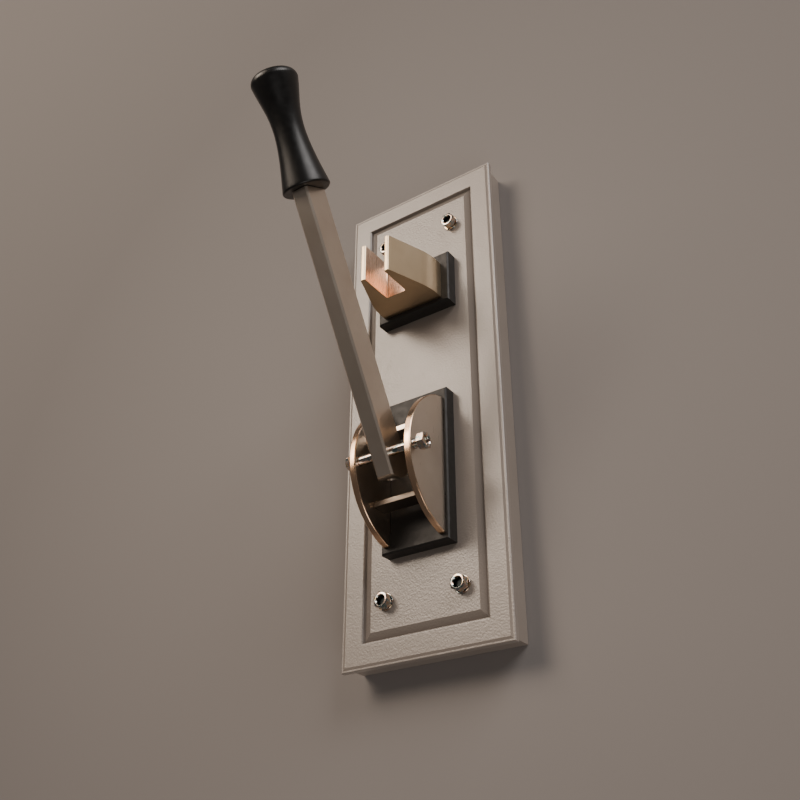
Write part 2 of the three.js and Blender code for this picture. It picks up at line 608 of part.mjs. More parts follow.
// In the lever's own frame, +Z runs up the blade and -Y is its front.
function addBlade() {
  const end = HANDLE_START - CUT_GAP;
  const half = BLADE_WIDTH / 2;
  const front = BLADE_FRONT;
  const back = -BLADE_BACK;
  const bevel = BLADE_BEVEL;
  const section = new THREE.Shape([
    [-half, back + bevel], [-half + bevel, back], [half - bevel, back], [half, back + bevel],
    [half, front - bevel], [half - bevel, front], [-half + bevel, front], [-half, front - bevel],
  ].map(([x, n]) => new THREE.Vector2(x, -n)));
  const bar = new THREE.ExtrudeGeometry(section, { depth: end + BLADE_TAIL, bevelEnabled: false })
    .translate(0, 0, -BLADE_TAIL);

  const side = new THREE.Shape();
  const swing = Math.asin((BLADE_DEPTH / 2) / TAIL_RADIUS);
  side.moveTo(BLADE_DEPTH, end + OVERSHOOT);
  side.lineTo(-BLADE_DEPTH, end + OVERSHOOT);
  side.lineTo(-BLADE_DEPTH, TAIL_RADIUS * (1 - Math.cos(swing)) - BLADE_TAIL);
  side.absarc(0, TAIL_RADIUS - BLADE_TAIL, TAIL_RADIUS, -Math.PI / 2 - swing, -Math.PI / 2 + swing);
  side.lineTo(BLADE_DEPTH, TAIL_RADIUS * (1 - Math.cos(swing)) - BLADE_TAIL);
  const thick = { depth: BLADE_WIDTH * 2, bevelEnabled: false, curveSegments: 12 };
  const tailed = new THREE.ExtrudeGeometry(side, thick)
    .translate(0, 0, -BLADE_WIDTH)
    .rotateX(Math.PI / 2)
    .rotateZ(Math.PI / 2)
    .translate(0, -BLADE_MIDDLE, 0);

  const axis = -(BLADE_MIDDLE + HANDLE_FORWARD);
  const tangLength = TANG_LENGTH + OVERSHOOT;
  const tang = new THREE.CylinderGeometry(TANG_DIAMETER / 2, TANG_DIAMETER / 2, tangLength, SIDES_SMALL)
    .rotateX(Math.PI / 2)
    .translate(0, axis, end + tangLength / 2 - OVERSHOOT);
  const rodHole = crossPeg(ROD_DIAMETER + 2 * SEAT_GAP, -BLADE_WIDTH, BLADE_WIDTH, 0, 0);
  const screwHole = new THREE.CylinderGeometry(
    SET_SCREW_DIAMETER / 2 + CUT_GAP, SET_SCREW_DIAMETER / 2 + CUT_GAP, BLADE_TAIL + OVERSHOOT, SIDES_SMALL,
  ).rotateX(Math.PI / 2).translate(0, 0, -(BLADE_TAIL + OVERSHOOT) / 2);
  const blade = solidOf(bar)
    .intersect(solidOf(tailed))
    .add(solidOf(tang))
    .subtract(solidOf(rodHole))
    .subtract(solidOf(screwHole));
  add("blade", geometryOf(blade), BRONZE, lever);

  const screwTop = -ROD_DIAMETER / 2 - CUT_GAP;
  const screw = new THREE.CylinderGeometry(
    SET_SCREW_DIAMETER / 2, SET_SCREW_DIAMETER / 2, SET_SCREW_LENGTH, SIDES_SMALL,
  ).rotateX(Math.PI / 2).translate(0, 0, screwTop - SET_SCREW_LENGTH / 2);
  add("blade_set_screw", screw, STEEL, lever);
}

function addHandle() {
  const end = HANDLE_END_RADIUS;
  const rim = HANDLE_RIM_ROUND;
  const waist = HANDLE_WAIST_RADIUS;
  const waistAt = HANDLE_WAIST_AT;
  const top = HANDLE_LENGTH - HANDLE_DOME;
  const crownAt = top - HANDLE_CROWN_ROUND;
  const arc = (r, y, radius, from, to, steps) => Array.from({ length: steps + 1 }, (_, i) => {
    const angle = THREE.MathUtils.degToRad(from + (to - from) * i / steps);
    return new THREE.Vector2(r + radius * Math.cos(angle), y + radius * Math.sin(angle));
  });
  const skirt = new THREE.CubicBezierCurve(
    new THREE.Vector2(end, rim),
    new THREE.Vector2(end - 1.7, waistAt * 0.29),
    new THREE.Vector2(waist + 0.1, waistAt * 0.65),
    new THREE.Vector2(waist, waistAt),
  );
  const flareRun = crownAt - waistAt;
  const flare = new THREE.CubicBezierCurve(
    new THREE.Vector2(waist, waistAt),
    new THREE.Vector2(waist + 0.3, waistAt + flareRun * 0.44),
    new THREE.Vector2(end - 2.4, waistAt + flareRun * 0.54),
    new THREE.Vector2(end, crownAt),
  );
  const outline = [
    new THREE.Vector2(0, 0),
    ...arc(end - rim, rim, rim, -90, 0, 3),
    ...skirt.getPoints(8).slice(1),
    ...flare.getPoints(8).slice(1),
    ...arc(end - HANDLE_CROWN_ROUND, crownAt, HANDLE_CROWN_ROUND, 0, 75, 4).slice(1),
    new THREE.Vector2(0, HANDLE_LENGTH),
  ];
  const grip = new THREE.LatheGeometry(outline, SIDES_LARGE);
  const tangBore = TANG_DIAMETER + 2 * CUT_GAP;
  const insertOuter = tangBore + 2 * INSERT_WALL;
  const round = (diameter, from, to) => new THREE.CylinderGeometry(
    diameter / 2, diameter / 2, to - from, SIDES_SMALL,
  ).translate(0, (from + to) / 2, 0);
  const insertTop = INSERT_COVER + INSERT_LENGTH;
  const cavities = [
    round(tangBore, -OVERSHOOT, TANG_LENGTH + 2 * CUT_GAP),
    round(insertOuter + 2 * CUT_GAP, INSERT_COVER - CUT_GAP, insertTop + CUT_GAP),
  ];
  const holder = new THREE.Group();
  holder.rotation.x = Math.PI / 2;
  holder.position.set(0, -(BLADE_MIDDLE + HANDLE_FORWARD), HANDLE_START);
  lever.add(holder);
  add("handle", cutAll(grip, cavities), BLACK_PLASTIC, holder);
  const insert = ringGeometry(insertOuter, tangBore, INSERT_LENGTH);
  add("handle_insert", insert, BRASS, holder).position.y = INSERT_COVER;
}

export default knifeSwitch;
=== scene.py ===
"""Finished look of a knife blade switch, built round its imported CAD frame."""

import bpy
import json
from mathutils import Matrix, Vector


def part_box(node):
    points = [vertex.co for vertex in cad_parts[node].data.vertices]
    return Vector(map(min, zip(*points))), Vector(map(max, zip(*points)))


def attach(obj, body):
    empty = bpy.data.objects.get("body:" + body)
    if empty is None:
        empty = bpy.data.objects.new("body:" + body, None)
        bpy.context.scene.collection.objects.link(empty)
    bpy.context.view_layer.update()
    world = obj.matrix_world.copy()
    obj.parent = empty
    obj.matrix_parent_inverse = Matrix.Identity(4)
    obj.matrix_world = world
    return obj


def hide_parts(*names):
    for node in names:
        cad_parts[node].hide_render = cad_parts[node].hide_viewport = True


bl_info = {
    "name": "Knife blade switch",
    "version": (1, 0, 0),
    "blender": (4, 5, 0),
    "location": "3D View > Sidebar > Knife Switch",
    "description": "Builds the visible pieces of a wall-mounted knife blade switch",
    "category": "Object",
}

import json
import math

import bmesh
import bpy
from bpy.props import FloatProperty, FloatVectorProperty, PointerProperty, StringProperty
from mathutils import Euler, Matrix, Vector

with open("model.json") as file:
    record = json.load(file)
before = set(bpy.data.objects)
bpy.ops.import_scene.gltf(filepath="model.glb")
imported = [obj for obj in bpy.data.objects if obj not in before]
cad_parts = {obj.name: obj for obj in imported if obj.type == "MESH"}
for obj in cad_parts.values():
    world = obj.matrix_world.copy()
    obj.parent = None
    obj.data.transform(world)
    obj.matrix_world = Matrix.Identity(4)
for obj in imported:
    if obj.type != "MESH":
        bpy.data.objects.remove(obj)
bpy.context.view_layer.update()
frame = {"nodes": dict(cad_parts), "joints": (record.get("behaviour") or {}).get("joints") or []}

MM = 0.001
BASE = "base"
LEVER = "lever"
JOINT = frame["joints"][0]
PIVOT = Vector(JOINT["pos_m"])
NUT_FLATS = 8.0
THREAD_MM = 5.0
THREAD_PITCH = 0.8
NUT_TURNS = (22, 38, 10, 4)  # degrees that each panel nut stopped at when it was tightened
PIVOT_NUT_TURN = 20.0
WALL_GAP = 0.3  # mm of air behind the box, so that its back and the wall never share a plane
WALL_SIZE = 6.0  # metres
CAMERA_LENS = 44.5
CAMERA_AIM = (-0.01433, -0.017, 0.00106)
CAMERA_DISTANCE = 0.5663
CAMERA_ROLL = 0.128


# ---- places read from the frame ----

def middle(node):
    """Centre of a CAD node's box."""
    low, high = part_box(node)
    return (low + high) / 2


def lever_axes():
    """Directions up the blade and out of its front face, from the line through blade and handle."""
    tip_low, tip_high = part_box("handle_insert")
    run = tip_high - tip_low
    bore = run.x
    # The insert is a tube of diameter `bore` and some length, tilted about X by the open angle.
    best = min(
        (math.radians(step / 20) for step in range(0, 1800)),
        key=lambda tilt: abs(tube_height(bore, run, tilt)),
    )
    up = Vector((0, -math.sin(best), math.cos(best)))
    front = Vector((0, -math.cos(best), -math.sin(best)))
    return up, front


def tube_height(bore, run, tilt):
    """Zero where one length explains both the depth and the height of a tilted tube's box."""
    from_depth = (run.y - bore * math.cos(tilt)) / max(math.sin(tilt), 1e-6)
    from_height = (run.z - bore * math.sin(tilt)) / max(math.cos(tilt), 1e-6)
    return from_depth - from_height


UP, FRONT = lever_axes()
LEVER_FRAME = Matrix.Translation(PIVOT) @ Matrix((
    (1, 0, 0, 0),
    (0, -FRONT.y, UP.y, 0),
    (0, -FRONT.z, UP.z, 0),
    (0, 0, 0, 1),
))


# ---- colour and node helpers ----

def linear(code):
    """An sRGB hex colour as linear RGBA."""
    parts = [int(code[i:i + 2], 16) / 255 for i in (1, 3, 5)]
    curve = [p / 12.92 if p <= 0.04045 else ((p + 0.055) / 1.055) ** 2.4 for p in parts]
    return (*curve, 1.0)


def waves(size_mm):
    """Noise scale, in object coordinates of metres, for features of a real size in millimetres."""
    return 1 / (size_mm * MM)


class Finish:
    """One procedural material being wired up."""

    def __init__(self, name):
        self.material = bpy.data.materials.new(name)
        self.material.use_nodes = True
        self.tree = self.material.node_tree
        self.shader = self.tree.nodes["Principled BSDF"]
        self.place = self.node("ShaderNodeTexCoord").outputs["Object"]

    def node(self, kind, inputs=None, **settings):
        """Adds a node; inputs maps a socket to a value or to another node's output."""
        made = self.tree.nodes.new(kind)
        for name, value in settings.items():
            setattr(made, name, value)
        for socket, value in (inputs or {}).items():
            if isinstance(value, bpy.types.NodeSocket):
                self.tree.links.new(value, made.inputs[socket])
            else:
                made.inputs[socket].default_value = value
        return made

    def set(self, **values):
        """Sets or links the shader's sockets, named with underscores for spaces."""
        for name, value in values.items():
            socket = self.shader.inputs[name.replace("_", " ")]
            if isinstance(value, bpy.types.NodeSocket):
                self.tree.links.new(value, socket)
            else:
                socket.default_value = value

    def ramp(self, factor, *stops):
        """A colour ramp through (position, colour) stops."""
        made = self.node("ShaderNodeValToRGB", {"Fac": factor})
        elements = made.color_ramp.elements
        while len(elements) < len(stops):
            elements.new(0.5)
        for element, (position, colour) in zip(elements, stops):
            element.position = position
            element.color = colour if isinstance(colour, tuple) else (colour, colour, colour, 1)
        return made.outputs["Color"]

    def noise(self, size_mm, detail=2.0, vector=None, roughness=0.5):
        """Noise with features of a real size."""
        return self.node("ShaderNodeTexNoise", {
            "Vector": vector or self.place,
            "Scale": waves(size_mm),
            "Detail": detail,
            "Roughness": roughness,
        }).outputs["Fac"]

    def bump(self, height, strength, depth_mm, under=None):
        """A bump whose full height is a real depth in millimetres."""
        inputs = {"Height": height, "Strength": strength, "Distance": depth_mm * MM}
        if under:
            inputs["Normal"] = under
        return self.node("ShaderNodeBump", inputs).outputs["Normal"]

    def stretched(self, x, y, z, turn=(0, 0, 0), centre=(0, 0, 0)):
        """Object coordinates stretched along axes, for brushed grain."""
        moved = self.node("ShaderNodeMapping", {
            "Vector": self.place,
            "Location": [-c for c in centre],
        })
        return self.node("ShaderNodeMapping", {
            "Vector": moved.outputs["Vector"],
            "Rotation": turn,
            "Scale": (x, y, z),
        }).outputs["Vector"]

    def tint(self, factor, low, high):
        """A mix of two colours."""
        return self.ramp(factor, (0.3, linear(low)), (0.7, linear(high)))


def enamel_paint(name, code, shade, peel):
    """Stoved enamel sprayed on pressed steel: an even semi-gloss skin with fine orange peel."""
    made = Finish(name)
    patch = made.noise(45, 3)
    colour = made.tint(patch, shade, code)
    fine = made.noise(1.3, 2, roughness=0.6)
    broad = made.noise(3.4, 1)
    skin = made.bump(broad, 0.35 * peel, 0.25)
    skin = made.bump(fine, 0.6 * peel, 0.16, skin)
    rough = made.ramp(made.noise(9, 3), (0.2, 0.36), (0.8, 0.44))
    made.set(Base_Color=colour, Roughness=rough, Normal=skin, IOR=1.5)
    made.set(Coat_Weight=0.15, Coat_Roughness=0.25)
    return made.material


def stamped_enamel():
    """The same enamel, laid thicker over the field so that the peel shows there and fades on the border."""
    looks = bpy.context.scene.knife_switch
    made = Finish("enamel_over_stamped_steel")
    low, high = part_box("cover_plate")
    across = made.node("ShaderNodeSeparateXYZ", {"Vector": made.place})
    half_width = (high.x - low.x) / 2
    half_height = (high.z - low.z) / 2
    inset = looks.field_inset * MM

    def inside(axis, half):
        off = made.node("ShaderNodeMath", {0: across.outputs[axis]}, operation="ABSOLUTE")
        room = made.node("ShaderNodeMath", {0: half - inset, 1: off.outputs[0]}, operation="SUBTRACT")
        return room.outputs[0]

    nearest = made.node("ShaderNodeMath", {
        0: inside("X", half_width),
        1: inside("Z", half_height),
    }, operation="MINIMUM")
    in_field = made.node("ShaderNodeMapRange", {
        "Value": nearest.outputs[0],
        "From Min": -0.3 * MM,
        "From Max": 0.3 * MM,
        "To Min": 0.7,
        "To Max": 1.0,
    }).outputs[0]
    cells = made.node("ShaderNodeTexVoronoi", {
        "Vector": made.place,
        "Scale": waves(1.0),
        "Smoothness": 1.0,
    }, feature="SMOOTH_F1").outputs["Distance"]
    grain = made.noise(0.9, 2, roughness=0.6)
    height = made.node("ShaderNodeMath", {0: cells, 1: grain}, operation="ADD").outputs[0]
    skin = made.node("ShaderNodeBump", {
        "Height": height,
        "Strength": in_field,
        "Distance": 0.085 * MM,
    }).outputs["Normal"]
    skin = made.bump(made.noise(6, 2), 0.25, 0.12, skin)
    colour = made.tint(made.noise(60, 3), looks.enamel_shade, looks.enamel_colour)
    # Painted shade: the channel between the border and the field is darkened to about two thirds of the
    # enamel's colour, standing in for the shade that falls in it.
    band = made.node("ShaderNodeMapRange", {
        "Value": nearest.outputs[0],
        "From Min": -6.0 * MM,
        "From Max": 0.6 * MM,
    }).outputs[0]
    painted_channel_shade = made.ramp(band, (0.02, 1.0), (0.1, 0.66), (0.86, 0.78), (0.95, 1.0))
    shaded = made.node("ShaderNodeMix", {"Factor": 1.0}, data_type="RGBA", blend_type="MULTIPLY")
    made.tree.links.new(colour, shaded.inputs["A"])
    made.tree.links.new(painted_channel_shade, shaded.inputs["B"])
    rough = made.ramp(made.noise(8, 3), (0.2, 0.36), (0.8, 0.44))
    made.set(Base_Color=shaded.outputs["Result"], Roughness=rough, Normal=skin, IOR=1.55)
    made.set(Coat_Weight=1.0, Coat_Roughness=0.3, Coat_Normal=skin)
    return made.material


def copper_alloy(name, turn=(0, 0, 0), centre=(0, 0, 0), along=(1, 1, 0.02), rough_low=0.27, tones=None):
    """Rolled copper alloy, belt-finished and faintly tarnished: satin, warm, with long fine grain."""
    looks = bpy.context.scene.knife_switch
    made = Finish(name)
    streaks = made.noise(0.35, 3, made.stretched(*along, turn=turn, centre=centre), 0.65)
    cloud = made.noise(22, 3)
    colour = made.tint(cloud, *(tones or (looks.alloy_tarnish, looks.alloy_colour)))
    rough = made.ramp(streaks, (0.25, rough_low), (0.75, rough_low + 0.1))
    made.set(Base_Color=colour, Metallic=1.0, Roughness=rough)
    made.set(Normal=made.bump(streaks, 0.12, 0.02))
    return made.material


def moulded_phenolic():
    """Compression-moulded phenolic board: near black, satin, with a faint mottle from the filler."""
    looks = bpy.context.scene.knife_switch
    made = Finish("moulded_phenolic")
    mottle = made.noise(1.1, 4, roughness=0.7)
    colour = made.tint(mottle, looks.block_shade, looks.block_colour)
    rough = made.ramp(made.noise(4, 3), (0.3, 0.42), (0.7, 0.54))
    made.set(Base_Color=colour, Roughness=rough, IOR=1.42)
    made.set(Normal=made.bump(made.noise(0.5, 2), 0.2, 0.03))
    return made.material


def bright_plating(name="bright_nickel_plate"):
    """Nickel plate over turned steel: mirror bright, with faint turning marks and handling haze, and painted
    reflections in its colour.
    """
    made = Finish(name)
    haze = made.noise(5, 3)
    rough = made.ramp(haze, (0.3, 0.08), (0.75, 0.17))
    # Painted reflections: the teal, pink and cream patches in the colour stand in for coloured surroundings
    # mirrored in the plate.
    colour = made.ramp(
        made.noise(1.7, 2), (0.34, linear("#7f9797")), (0.45, linear("#c3c6c2")),
        (0.55, linear("#e3c3b4")), (0.66, linear("#d9cba6")),
    )
    made.set(Base_Color=colour, Metallic=1.0, Roughness=rough)
    made.set(Normal=made.bump(made.noise(0.4, 2), 0.08, 0.01))
    return made.material


def blacked_steel():
    """Steel studs chemically blacked, with a trace of oil in the thread."""
    made = Finish("blacked_steel")
    made.set(Base_Color=made.tint(made.noise(1, 3), "#1c2021", "#2a2e2f"), Metallic=1.0)
    made.set(Roughness=made.ramp(made.noise(0.8, 2), (0.3, 0.28), (0.7, 0.4)))
    return made.material


def zinc_plate():
    """Zinc-plated steel: cool grey with a slight spangle."""
    made = Finish("zinc_plated_steel")
    spangle = made.noise(1.2, 3)
    made.set(Base_Color=made.tint(spangle, "#9da1a3", "#b9bcbc"), Metallic=1.0)
    made.set(Roughness=made.ramp(made.noise(2, 3), (0.3, 0.28), (0.7, 0.42)))
    return made.material


def turned_brass():
    """Free-cutting brass as turned: yellow, with fine rings."""
    made = Finish("turned_brass")
    rings = made.noise(0.3, 2, made.stretched(0.1, 1, 0.1))
    made.set(Base_Color=made.tint(made.noise(8, 2), "#b08a44", "#c7a158"), Metallic=1.0)
    made.set(Roughness=made.ramp(rings, (0.3, 0.2), (0.7, 0.34)))
    return made.material


def soft_rubber():
    """Moulded rubber: matte black with a dusty bloom."""
    made = Finish("moulded_rubber")
    made.set(Base_Color=made.tint(made.noise(2, 3), "#171615", "#262423"))
    made.set(Roughness=made.ramp(made.noise(1, 2), (0.3, 0.65), (0.7, 0.85)))
    return made.material


def lacquered_grip():
    """Black lacquer on a turned hardwood grip: satin, with faint grain, worn a little dull."""
    looks = bpy.context.scene.knife_switch
    made = Finish("black_lacquer_grip")
    turn = (-math.atan2(-UP.y, UP.z), 0, 0)
    grain = made.noise(0.9, 3, made.stretched(1, 1, 0.08, turn=turn, centre=PIVOT), 0.6)
    made.set(Base_Color=made.tint(made.noise(14, 3), looks.grip_shade, looks.grip_colour))
    rough = made.ramp(made.noise(3, 4), (0.25, 0.3), (0.75, 0.42))
    skin = made.bump(grain, 0.16, 0.05)
    skin = made.bump(made.noise(0.8, 2), 0.22, 0.03, skin)
    made.set(Roughness=rough, Normal=skin, IOR=1.5, Coat_Weight=0.1, Coat_Roughness=0.3)
    return made.material


# ---- mesh helpers ----

def finish_piece(mesh, name, body, slot, material, *stands_for, smooth=35, edge_finish=None,
                 is_edge=lambda face: abs(face.normal.x) < 0.9):
    """Turns a bmesh into a shown piece that rides on a body.

    With edge_finish, faces that is_edge picks take that second material.
    """
    bmesh.ops.recalc_face_normals(mesh, faces=mesh.faces)
    data = bpy.data.meshes.new(name)
    for face in mesh.faces:
        face.smooth = True
        if edge_finish and is_edge(face):
            face.material_index = 1
    for edge in mesh.edges:
        edge.smooth = edge.is_manifold and edge.calc_face_angle(0) < math.radians(smooth)
    mesh.to_mesh(data)
    mesh.free()
    data.materials.append(material)
    if edge_finish:
        data.materials.append(edge_finish)
    made = bpy.data.objects.new(name, data)
    bpy.context.scene.collection.objects.link(made)
    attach(made, body)
    if stands_for:
        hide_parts(*stands_for)
    flat = made.modifiers.new("flat faces", "WEIGHTED_NORMAL")
    flat.keep_sharp = True
    flat.weight = 80
    return made


def cad_copy(node):
    """A merged bmesh of a CAD node with its flat faces made whole."""
    mesh = bmesh.new()
    mesh.from_mesh(frame["nodes"][node].data)
    bmesh.ops.remove_doubles(mesh, verts=mesh.verts, dist=0.004 * MM)
    bmesh.ops.dissolve_limit(
        mesh, angle_limit=math.radians(0.6), verts=mesh.verts, edges=mesh.edges,
    )
    return mesh


def soften(mesh, width_mm, segments=2, sharper_than=28, keep=None):
    """Rounds the edges that are sharper than an angle in degrees."""
    limit = math.radians(sharper_than)
    edges = [
        edge for edge in mesh.edges
        if edge.is_manifold and edge.calc_face_angle(0) > limit and (keep is None or keep(edge))
    ]
    bmesh.ops.bevel(
        mesh, geom=edges, offset=width_mm * MM, offset_type="OFFSET", segments=segments,
        profile=0.5, affect="EDGES", clamp_overlap=True, material=-1,
    )
    return mesh


def turned(profile_mm, steps=64):
    """A solid of revolution about +Z from (radius, height) points in millimetres."""
    mesh = bmesh.new()
    verts = [mesh.verts.new((r * MM, 0, z * MM)) for r, z in profile_mm]
    for a, b in zip(verts, verts[1:]):
        mesh.edges.new((a, b))
    bmesh.ops.spin(
        mesh, geom=mesh.verts[:] + mesh.edges[:], cent=(0, 0, 0), axis=(0, 0, 1),
        angle=math.tau, steps=steps, use_merge=True,
    )
    bmesh.ops.remove_doubles(mesh, verts=mesh.verts, dist=0.002 * MM)
    return mesh


def placed(mesh, matrix):
    """Moves a bmesh into the row frame."""
    bmesh.ops.transform(mesh, matrix=matrix, verts=mesh.verts)
    return mesh


def arc(r, z, radius, start, stop, steps):
    """Points of an arc in a turned profile, angles in degrees."""
    angles = [math.radians(start + (stop - start) * i / steps) for i in range(steps + 1)]
    return [(r + radius * math.cos(a), z + radius * math.sin(a)) for a in angles]


def curve(points, steps):
    """A cubic Bezier through a turned profile."""
    a, b, c, d = (Vector(p) for p in points)
    found = []
    for i in range(steps + 1):
        t = i / steps
        u = 1 - t
        found.append(tuple(a * u**3 + b * (3 * u * u * t) + c * (3 * u * t * t) + d * t**3))
    return found


def out_of_wall(x, back, z):
    """A matrix that stands a piece made up +Z out of the wall, from a depth."""
    return Matrix.Translation((x, back, z)) @ Matrix.Rotation(math.pi / 2, 4, "X")


def hexagon_nut(flats_mm, height_mm, bore_mm):
    """A hexagonal nut up +Z: both ends chamfered to a circle, the bore countersunk."""
    corner = flats_mm / math.sqrt(3)
    body = bmesh.new()
    bmesh.ops.create_cone(
        body, cap_ends=True, segments=6, radius1=corner * MM, radius2=corner * MM,
        depth=height_mm * MM, matrix=Matrix.Translation((0, 0, height_mm * MM / 2)),
    )
    soften(body, 0.12, 2, keep=lambda e: abs(e.verts[0].co.z - e.verts[1].co.z) > 1e-5)
    flat = flats_mm / 2 * 0.965
    rise = (corner - flat) * math.tan(math.radians(30))
    sink = 0.5
    cutter = turned([
        (0, 0), (flat, 0), (corner + 0.1, rise), (corner + 0.1, height_mm - rise),
        (flat, height_mm), (0, height_mm),
    ], 72)
    drill = turned([
        (0, -1), (bore_mm / 2 + sink + 1, -1), (bore_mm / 2, sink),
        (bore_mm / 2, height_mm - sink), (bore_mm / 2 + sink + 1, height_mm + 1), (0, height_mm + 1),
    ], 48)
    blank = carved(body, cutter, "INTERSECT")
    return carved(blank, drill, "DIFFERENCE")


def carved(mesh, tool, operation):
    """One bmesh cut by another with Blender's exact boolean."""
    objects = []
    for part in (mesh, tool):
        bmesh.ops.recalc_face_normals(part, faces=part.faces)
        data = bpy.data.meshes.new("workpiece")
        part.to_mesh(data)
        part.free()
        thing = bpy.data.objects.new("workpiece", data)
        bpy.context.scene.collection.objects.link(thing)
        objects.append(thing)
    work, cutter = objects
    cut = work.modifiers.new("cut", "BOOLEAN")
    cut.object = cutter
    cut.operation = operation
    cut.solver = "EXACT"
    graph = bpy.context.evaluated_depsgraph_get()
    result = bmesh.new()
    result.from_object(work, graph)
    bmesh.ops.remove_doubles(result, verts=result.verts, dist=0.002 * MM)
    for thing in objects:
        data = thing.data
        bpy.data.objects.remove(thing)
        bpy.data.meshes.remove(data)
    return result


def thread_profile(diameter_mm, length_mm, pitch_mm, threaded_mm, chamfer_mm=0.5):
    """Profile of a threaded stud standing up +Z: a plain shank, then thread crests and roots."""
    radius = diameter_mm / 2
    root = radius - 0.54 * pitch_mm
    plain = length_mm - threaded_mm
    points = [(0, 0), (radius - chamfer_mm, 0), (radius, chamfer_mm), (radius, plain)]
    turns = int((threaded_mm - chamfer_mm) / pitch_mm)
    for i in range(turns):
        z = plain + i * pitch_mm
        points += [(root, z + pitch_mm * 0.45), (root, z + pitch_mm * 0.55), (radius, z + pitch_mm)]
    points += [(radius, length_mm - chamfer_mm), (radius - chamfer_mm, length_mm), (0, length_mm)]
    return points


# ---- settings ----

def washer_profile(outer, bore, thick, round_mm=0.3):
    """Closed profile of a pressed washer with rounded edges."""
    return [
        (bore, 0), (outer, 0), (outer, thick - round_mm),
        *arc(outer - round_mm, thick - round_mm, round_mm, 30, 90, 3), (bore, thick), (bore, 0),
    ]


def screw_profile(head, shank, length, head_height=2.6, slot_mm=0.9):
    """Profile of a pan-head screw, head down at z = 0, its tip up."""
    return [
        (0, slot_mm * 0.3), (head * 0.3, 0.1), *arc(head - 1.1, 1.1, 1.1, -80, 0, 4),
        (head, head_height), (shank, head_height), (shank, length - 0.7), (shank - 0.6, length),
        (0, length),
    ]


def grip_ends():
    """The handle's lower centre, its top centre and its radius, from its CAD vertices."""
    spots = [v.co - PIVOT for v in frame["nodes"]["handle"].data.vertices]
    along = [s.dot(UP) for s in spots]
    across = [s.dot(FRONT) for s in spots]
    offset = (max(across) + min(across)) / 2
    radius = (max(s.x for s in spots) - min(s.x for s in spots)) / 2 / MM
    return PIVOT + UP * min(along) + FRONT * offset, PIVOT + UP * max(along) + FRONT * offset, radius


def sheet(name, size, material):
    """A flat square of the stage."""
    mesh = bmesh.new()
    bmesh.ops.create_grid(mesh, x_segments=1, y_segments=1, size=size / 2)
    data = bpy.data.meshes.new(name)
    mesh.to_mesh(data)
    mesh.free()
    data.materials.append(material)
    made = bpy.data.objects.new(name, data)
    bpy.context.scene.collection.objects.link(made)
    return made


def wall_paint(code):
    """Matt emulsion; seen from behind it is clear, so that the back of the switch can be looked at."""
    made = Finish("matt_wall_emulsion")
    # Painted shade: the wall's colour darkens to 74 % with distance from the middle of the scene, standing
    # in for the light falling off across it.
    away = made.node("ShaderNodeVectorMath", {0: made.place}, operation="LENGTH").outputs["Value"]
    paint = linear(code)
    painted_falloff = tuple(0.74 * c for c in paint[:3]) + (1,)
    shade = made.ramp(away, (0.12, paint), (0.42, painted_falloff))
    made.set(Base_Color=shade, Roughness=0.75)
    made.set(Normal=made.bump(made.noise(1.2, 2), 0.12, 0.08))
    behind = made.node("ShaderNodeNewGeometry").outputs["Backfacing"]
    clear = made.node("ShaderNodeBsdfTransparent").outputs[0]
    mix = made.node("ShaderNodeMixShader", {0: behind, 1: made.shader.outputs[0], 2: clear})
    made.tree.links.new(mix.outputs[0], made.tree.nodes["Material Output"].inputs["Surface"])
    return made.material


class KnifeSwitchSettings(bpy.types.PropertyGroup):
    """Sizes and colours that a user would change."""

    field_inset: FloatProperty(
        name="Field inset", description="Millimetres from the cover's edge to its centre field",
        default=18.3, min=5, max=40,
    )
    edge_round: FloatProperty(
        name="Edge round", description="Radius in millimetres that polishing leaves on metal edges",
        default=0.3, min=0.05, max=1.0,
    )
    paint_round: FloatProperty(
        name="Paint round", description="Radius in millimetres of the painted edges",
        default=0.35, min=0.05, max=1.0,
    )
    enamel_colour: StringProperty(name="Enamel", description="sRGB hex of the enamel", default="#9a8f86")
    enamel_shade: StringProperty(
        name="Enamel shade", description="sRGB hex of the enamel's darker patches", default="#93887f",
    )
    alloy_colour: StringProperty(name="Alloy", description="sRGB hex of the copper alloy", default="#e7dacb")
    alloy_tarnish: StringProperty(
        name="Alloy tarnish", description="sRGB hex of the alloy's darker patches", default="#dccdbd",
    )
    block_colour: StringProperty(name="Block", description="sRGB hex of the phenolic", default="#2b2826")
    block_shade: StringProperty(
        name="Block shade", description="sRGB hex of the phenolic's filler", default="#211f1d",
    )
    grip_colour: StringProperty(name="Grip", description="sRGB hex of the lacquer", default="#0d0c0c")
    grip_shade: StringProperty(
        name="Grip shade", description="sRGB hex of the lacquer where it is worn", default="#090808",
    )
    wall_colour: StringProperty(name="Wall", description="sRGB hex of the backdrop", default="#96908d")
    key_watts: FloatProperty(
        name="Key light", description="Power of the large soft key light", default=35.0, min=0, unit="POWER",
    )
    fill_strength: FloatProperty(
        name="Fill", description="Strength of the even room light", default=0.14, min=0, subtype="FACTOR",
    )
    camera_azimuth: FloatProperty(
        name="Azimuth", description="Camera's turn round the switch",
        default=math.radians(34.94), subtype="ANGLE",
    )
    camera_elevation: FloatProperty(
        name="Elevation", description="Camera's height angle", default=math.radians(-30.68), subtype="ANGLE",
    )


# ---- operators: one for each piece or group of like pieces ----

class KNIFE_OT_cover_plate(bpy.types.Operator):
    """Stamped cover plate with its bordered field, mitred channel and stepped lip"""

    bl_idname = "knife.cover_plate"
    bl_label = "Cover Plate"

    def execute(self, context):
        mesh = soften(cad_copy("cover_plate"), context.scene.knife_switch.paint_round * 0.6, 2, 20)
        finish_piece(mesh, "cover_plate_stamped", BASE, "paint", stamped_enamel(), "cover_plate")
        return {"FINISHED"}


